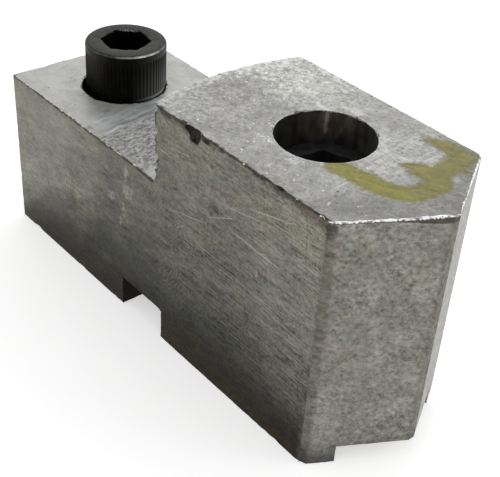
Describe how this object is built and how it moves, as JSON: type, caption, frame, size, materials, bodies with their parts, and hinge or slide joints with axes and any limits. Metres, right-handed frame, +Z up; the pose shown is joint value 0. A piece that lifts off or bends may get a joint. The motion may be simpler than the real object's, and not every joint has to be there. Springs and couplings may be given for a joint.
{
  "type": "machinable soft jaw",
  "caption": "Pointed soft top jaw for a lathe chuck, with a turned step, a curved grip wall, counterbored screw holes and its cap screws standing in them.",
  "frame": {"origin": "middle of the underside, in the plane of the two narrow feet that the jaw stands on", "axes": "+X from the rear face to the pointed tip, +Y across the width, +Z up towards the screw heads"},
  "size_m": [0.1196, 0.039, 0.0585],
  "materials": {
    "machined_aluminium": "machined and worn, with fine scratches",
    "blackened_steel": "blackened, worn bright on its edges"
  },
  "bodies": {
    "root": {"jaw_body": "machined_aluminium", "rear_cap_screw": "blackened_steel", "front_cap_screw": "blackened_steel"}
  },
  "joints": []
}
